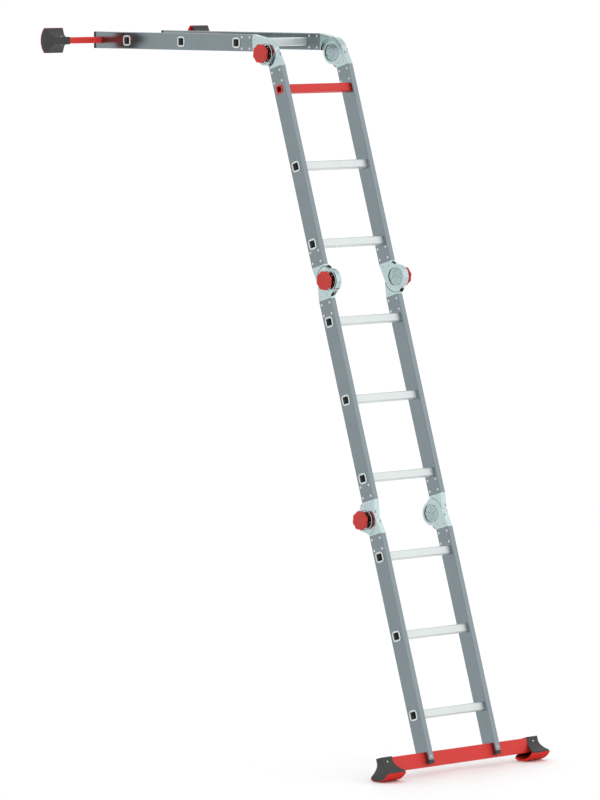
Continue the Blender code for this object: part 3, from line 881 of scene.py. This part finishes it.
def spring_mesh(side):
    """Coil from the floor of the outer recess to the knob's hub, round Z."""
    low = X_OUT - OUTER_FLOOR[0] + SPRING_WIRE_R
    high = KNOB_HUB_X - SPRING_WIRE_R
    steps = 28 * SPRING_TURNS
    points = []
    for k in range(steps + 1):
        turn = 2 * math.pi * SPRING_TURNS * k / steps
        z = low + (high - low) * k / steps
        points.append((SPRING_R * math.cos(turn), SPRING_R * math.sin(turn), side * z))
    return finished(wire(points, SPRING_WIRE_R))


def bar_mesh():
    """Rectangular tube along Z, with f along X."""
    deep, middle = BAR_F[1] - BAR_F[0], (sum(BAR_F) / 2, 0)
    outer = rounded_rect(deep, BAR_THICK, BAR_ROUND, centre=middle)
    bore = rounded_rect(deep - 2 * BAR_WALL, BAR_THICK - 2 * BAR_WALL,
                        BAR_ROUND - BAR_WALL, centre=middle)
    tube = solid(outer, -BAR_HALF, BAR_HALF, [bore])
    return finished(tube, ease=0.0003, sharp=60, segments=1)


def cap_mesh():
    """U-shaped plug in the end of a stile, astride the bar, with a lip."""
    clear = STILE_WALL + GAP
    plug = rounded_rect(STILE_DEPTH - 2 * clear, STILE_THICK - 2 * clear, 0.0012)
    cap = turn_over(solid(plug, CAP_PLUG_F, TUBE_END_F + 0.002), LENGTHWISE)
    lip = rounded_rect(STILE_DEPTH, STILE_THICK, STILE_ROUND)
    step = TUBE_END_F + GAP
    join(cap, turn_over(solid(lip, step, CAP_END_F, rounding=0.0014), LENGTHWISE))
    slot, through = BAR_THICK / 2 + GAP, STILE_THICK / 2 + PAST
    cut(cap, block((BAR_F[0] - GAP, -slot, -through), (CAP_END_F + PAST, slot, through)))
    return finished(cap, ease=0.0004, sharp=50)


def shoe_ring(f, side, wall, mouth):
    """Section of the shoe at f; wall sets it in, mouth opens it to the ladder."""
    t = max(0.0, (f - SHOE_FLARE_F[0]) / (SHOE_FLARE_F[1] - SHOE_FLARE_F[0]))
    t = min(t, 1.0)

    def between(low_high, power):
        low, high = low_high
        return low + (high - low) * t ** power

    half = between(SHOE_DEPTH, 2.1) - wall
    half = max(half, BAR_THICK / 2 + GAP) if wall else half
    x_in = SHOE_IN[1] - PAST if mouth else between(SHOE_IN, 1.5)
    x_out = between(SHOE_OUT, 1.8) - wall
    r = 0.0008 if wall else 0.0028 + 0.004 * t
    outline = rounded_rect(2 * half, x_out - x_in, r, 5, (0, (x_out + x_in) / 2))
    return [(f, d, side * x) for d, x in outline]


def sole_arc(r, past=0.0, steps=5):
    """Under side of the sole in (f, d): flats 8.5 degrees apart, one level."""
    tip = math.asin(SOLE_HALF_DEPTH / SOLE_R) + past
    turns = [(k + 0.5) * SOLE_STEP for k in range(steps)] + [tip]
    turns = [-t for t in reversed(turns)] + turns
    return [(SOLE_CENTRE_F + r * math.cos(t), r * math.sin(t)) for t in turns]


def shoe_mesh(side):
    """Flared hollow shoe over the bar's end, open towards the ladder."""
    end = SOLE_CENTRE_F + SOLE_R
    flare_from, flare_to = SHOE_FLARE_F
    flare = [flare_from + (flare_to - flare_from) * k / 12 for k in range(13)]
    tops = [SHOE_TOP_F, *flare, end]
    shoe = lofted([shoe_ring(f, side, 0.0, False) for f in tops])
    x_low, x_high = SHOE_IN[1] - 2 * PAST, SHOE_OUT[1] + 2 * PAST
    for r, x_end in ((SOLE_R - SOLE_THICK - GAP, SKIRT_X), (SHOE_SKIRT_R, x_high)):
        below = sole_arc(r, past=0.006) + sole_arc(SOLE_R + 0.02, past=0.006)[::-1]
        cut(shoe, solid(below, *sorted((side * x_low, side * x_end))))
    hollows = [BAR_F[0] - GAP, *flare, end]
    cut(shoe, lofted([shoe_ring(f, side, SHOE_WALL, True) for f in hollows]))
    return finished(shoe, ease=0.0006, sharp=42)


def sole_mesh(side):
    """Curved pad with cross grooves below, and a step for the shoe's skirt."""
    under = sole_arc(SOLE_R)
    outline = under + sole_arc(SOLE_R - SOLE_THICK)[::-1]
    half = (SOLE_X[1] - SOLE_X[0]) / 2
    sole = solid(outline, -half, half, rounding=0.0008)
    step = sole_arc(SHOE_SKIRT_R + GAP, past=0.02)
    step += sole_arc(SOLE_R - 2 * SOLE_THICK, past=0.02)[::-1]
    inner = SKIRT_X - GAP - (SOLE_X[0] + SOLE_X[1]) / 2
    cut(sole, solid(step, *sorted((side * inner, side * (half + PAST)))))
    for k in range(-4, 5):
        turn = k * SOLE_STEP
        wide, deep = SOLE_GROOVE
        groove = block((SOLE_R - deep, -wide / 2, -half - PAST),
                       (SOLE_R + PAST, wide / 2, half + PAST))
        matrix = Matrix.Translation((SOLE_CENTRE_F, 0, 0)) @ Matrix.Rotation(turn, 4, "Z")
        cut(sole, turn_over(groove, matrix))
    return finished(sole, ease=0.0003, sharp=42, segments=1)


def screw_mesh(r, height):
    """Round head on the level Z = 0 with a cross recess."""
    rise = [(r * math.cos(t), height * math.sin(t)) for t in (0, 0.4, 0.8, 1.2)]
    head = turned([(0, -height)] + [(r, -height)] + rise + [(0, height)], 28)
    for size in ((1.1 * r, 0.28 * r), (0.28 * r, 1.1 * r)):
        half = Vector((size[0] / 2, size[1] / 2))
        cut(head, block((-half.x, -half.y, 0.35 * height), (half.x, half.y, 2 * height)))
    return finished(head, ease=0.0001)


# ------------------------------------------------------------------ assembly
class Ladder:
    """Places pieces by section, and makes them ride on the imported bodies."""

    def __init__(self, joints, materials):
        self.materials = materials
        self.frames = {}
        axes = {j["name"]: Vector(j["pos_m"]) for j in joints if j["type"] == "hinge"}
        turn = Matrix.Rotation(LEAN, 3, "X")
        for hinge, offset, _ in HINGES:
            section = hinge + 1
            rotation = turn if section < 4 else Matrix.Identity(3)
            start = axes[f"hinge_{hinge}"] - rotation @ Vector((0, 0, offset * AXIS_OFFSET))
            self.frames[section] = Matrix.Translation(start) @ rotation.to_4x4()
        below = Matrix.Translation(-(turn @ Vector((0, SECTION, 0))))
        self.frames[1] = below @ self.frames[2]

    def put(self, name, mesh, finish, section, place, along=(0, 1, 0), depth=(0, 0, 1),
            body=None, node=None):
        """Places a mesh at (x, a, d), its X and Y turned to two directions.

        It stands for the CAD node of its name, or for none if node is False.
        """
        if not mesh.materials:
            mesh.materials.append(self.materials[finish])
        ob = as_object(name + "_detailed", mesh)
        along, depth = Vector(along), Vector(depth)
        turn = Matrix((along, depth, along.cross(depth))).transposed().to_4x4()
        ob.matrix_world = self.frames[section] @ Matrix.Translation(place) @ turn
        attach(ob, body or f"section_{section}")
        if node is not False:
            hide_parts(name)
        return ob


def make_sections(ladder):
    meshes = {True: stile_mesh(True), False: stile_mesh(False)}
    natural = rung_mesh(BEAD, BEAD_ROUND, RUNG_BORE - 2 * GAP)
    red = rung_mesh(RED_BEAD, RED_BEAD_ROUND, RED_MOUTH)
    # The second materials are darker copies: painted shade on the walls of the bores
    for mesh, outside, inside in ((natural, "rung_aluminium", "painted_shade_grey_bore"),
                                  (red, "red_rung", "painted_shade_red_bore")):
        mesh.materials.append(ladder.materials[outside])
        mesh.materials.append(ladder.materials[inside])
    for section in range(1, 5):
        mesh = meshes[section in (1, 4)]
        for side_name, side in SIDES:
            name = f"stile_{section}_{side_name}"
            if section == 1:
                place, along = (side * X_MID, SECTION, 0), (0, -1, 0)
            else:
                place, along = (side * X_MID, 0, 0), (0, 1, 0)
            ladder.put(name, mesh, "stile_aluminium", section, place, along)
        for k in range(3):
            place = (0, FIRST_RUNG + k * RUNG_PITCH, 0)
            last = (section, k) == (3, 2)
            mesh, finish = (red, "red_rung") if last else (natural, "rung_aluminium")
            ladder.put(f"rung_{section}_{k + 1}", mesh, finish, section, place)


def make_hinges(ladder):
    arms = {(outer, flip): arm_mesh(outer, flip)
            for outer in (True, False) for flip in (1, -1)}
    # Near-black blocks for the arms' slots, painted shade of the slots
    stops = {flip: slot_shade_mesh(flip) for flip in (1, -1)}
    # Dark red rings for the outer recesses' floors: painted shade and painted reflection
    painted_shade_discs = {flip: painted_shade_disc_mesh(flip) for flip in (1, -1)}
    knobs = {side: knob_mesh(side) for _, side in SIDES}
    plates = {side: lock_plate_mesh(side) for _, side in SIDES}
    springs = {side: spring_mesh(side) for _, side in SIDES}
    rivets = rivet_set_mesh()
    for hinge, offset, outer_section in HINGES:
        for side_name, side in SIDES:
            name = f"hinge_{hinge}_{side_name}"
            for section in (hinge, hinge + 1):
                outer = section == outer_section
                kind = "outer_arm" if outer else "inner_arm"
                up = 1 if section == hinge + 1 else -1
                level = 0 if up > 0 else SECTION
                face = side * (X_OUT if outer else X_IN)
                along, depth = (0, up, 0), (0, 0, -offset)
                place = (face, level, offset * AXIS_OFFSET)
                # Z points along x by -up * offset, and the steel lies inwards
                # of an outer arm's face and outwards of an inner arm's
                flip = side * up * offset * (1 if outer else -1)
                ladder.put(f"{name}_{kind}", arms[outer, flip], "hinge_steel", section,
                           place, along, depth)
                # Near-black block in the web's slot: painted shade of the slot
                ladder.put(f"{name}_{kind}_stop", stops[flip], "slot_painted_shade_black", section,
                           place, along, depth, node=False)
                if outer:
                    # Dark red ring on the recess floor: painted shade and painted reflection of
                    # the knob's back
                    ladder.put(f"{name}_painted_shade_disc", painted_shade_discs[flip], "painted_shade_red", section, place,
                               along, depth, node=False)
                ladder.put(f"{name}_{kind}_rivets", rivets, "rivet_steel", section,
                           (side * X_MID, level, 0), along, depth, node=False)
                if not outer:
                    make_lock(ladder, name, section, level, side, up, offset,
                              knobs, plates, springs)


def make_lock(ladder, name, section, level, side, up, offset, knobs, plates, springs):
    """Knob, lock plate and spring of one hinge; the knob and the plate move with the lock."""
    axis = (0, level, offset * AXIS_OFFSET)
    along, depth = (0, up, 0), (0, 0, -offset)
    turned_side = side * up * -offset
    lock = f"{name}_lock"
    ladder.put(f"{name}_knob", knobs[turned_side], "knob_red", section, axis,
               along, depth, body=lock)
    # The plate's darker steel is painted shade in the recess
    ladder.put(f"{name}_lock_plate", plates[turned_side], "lock_steel", section, axis,
               along, depth, body=lock)
    # The spring's dark steel is painted shade between the knob and the arm
    spring = ladder.put(f"{name}_spring", springs[turned_side], "painted_shade_spring", section,
                        axis, along, depth, node=False)
    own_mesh(spring)


def make_stabilisers(ladder):
    bar, cap = bar_mesh(), cap_mesh()
    shoes = {side: shoe_mesh(side) for _, side in SIDES}
    soles = {side: sole_mesh(side) for _, side in SIDES}
    stile_screw, shoe_rivet = screw_mesh(*STILE_SCREW), screw_mesh(*SHOE_RIVET)
    for end_name, section, up in (("bottom", 1, -1), ("top", 4, 1)):
        last = FIRST_RUNG if up < 0 else SECTION - FIRST_RUNG
        along = (0, up, 0)
        ladder.put(f"stabiliser_bar_{end_name}", bar, "bar_red", section, (0, last, 0), along)
        for side_name, side in SIDES:
            place = (0, last, 0)
            sole_x = side * (SOLE_X[0] + SOLE_X[1]) / 2
            ladder.put(f"end_cap_{end_name}_{side_name}", cap, "cap_black", section,
                       (side * X_MID, last, 0), along)
            ladder.put(f"foot_{end_name}_{side_name}", shoes[side * up], "foot_black",
                       section, place, along)
            ladder.put(f"sole_{end_name}_{side_name}", soles[side * up], "sole_red", section,
                       (sole_x, last, 0), along)
            # Screws: their heads' Z is turned to the climber's side or the wall
            for face, face_name in ((1, "front"), (-1, "rear")):
                flange = (side * X_MID, last + up * SCREW_F, face * STILE_DEPTH / 2)
                ladder.put(f"stile_screw_{end_name}_{side_name}_{face_name}", stile_screw,
                           "rivet_steel", section, flange, (0, 1, 0), (-face, 0, 0),
                           node=False)
                shoe = (side * SHOE_RIVET_X, last + up * SHOE_RIVET_F, face * SHOE_DEPTH[0])
                ladder.put(f"shoe_rivet_{end_name}_{side_name}_{face_name}", shoe_rivet,
                           "rivet_steel", section, shoe, (0, 1, 0), (-face, 0, 0),
                           node=False)


# -------------------------------------------------------------------- studio
def make_camera():
    azimuth, elevation = CAMERA_AZIMUTH, CAMERA_ELEVATION
    back = Vector((math.sin(azimuth) * math.cos(elevation),
                   -math.cos(azimuth) * math.cos(elevation), math.sin(elevation)))
    data = bpy.data.cameras.new("camera")
    data.lens = CAMERA_LENS
    data.sensor_width = 36
    camera = as_object("camera", data)
    camera.location = CAMERA_AT
    camera.rotation_euler = (-back).to_track_quat("-Z", "Y").to_euler()
    bpy.context.scene.camera = camera


def softbox(name, towards, distance, size, energy, target):
    """Square lamp that lights the target from a direction."""
    data = bpy.data.lights.new(name, "AREA")
    data.size = size
    data.energy = energy
    lamp = as_object(name, data)
    direction = Vector(towards).normalized()
    lamp.location = Vector(target) + direction * distance
    lamp.rotation_euler = (-direction).to_track_quat("-Z", "Y").to_euler()


def make_studio(low, high):
    """Pale floor, an even pale surround and large soft lamps."""
    scene = bpy.context.scene
    scene.view_settings.view_transform = "Standard"
    world = bpy.data.worlds.new("studio")
    scene.world = world
    world.use_nodes = True
    surround = world.node_tree.nodes["Background"]
    surround.inputs["Color"].default_value = (1, 1, 1, 1)
    surround.inputs["Strength"].default_value = 1.03
    for name, lamp in LAMPS.items():
        softbox(name, *lamp, (low + high) / 2)

    pale = Surface("pale floor")
    pale.colour(pale.noise(3), (0.3, (0.98, 0.98, 0.98)), (0.7, (0.99, 0.99, 0.99)))
    pale.roughness(pale.noise(40), 0.55, 0.65)
    floor = disc(FLOOR_R, *FLOOR_Z, 96)
    floor.name = "floor"
    floor.data.materials.append(pale.material)


def main():
    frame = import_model()
    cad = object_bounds()
    ladder = Ladder(frame["joints"], make_materials())
    make_sections(ladder)
    make_hinges(ladder)
    make_stabilisers(ladder)
    make_camera()
    make_studio(*cad)


main()
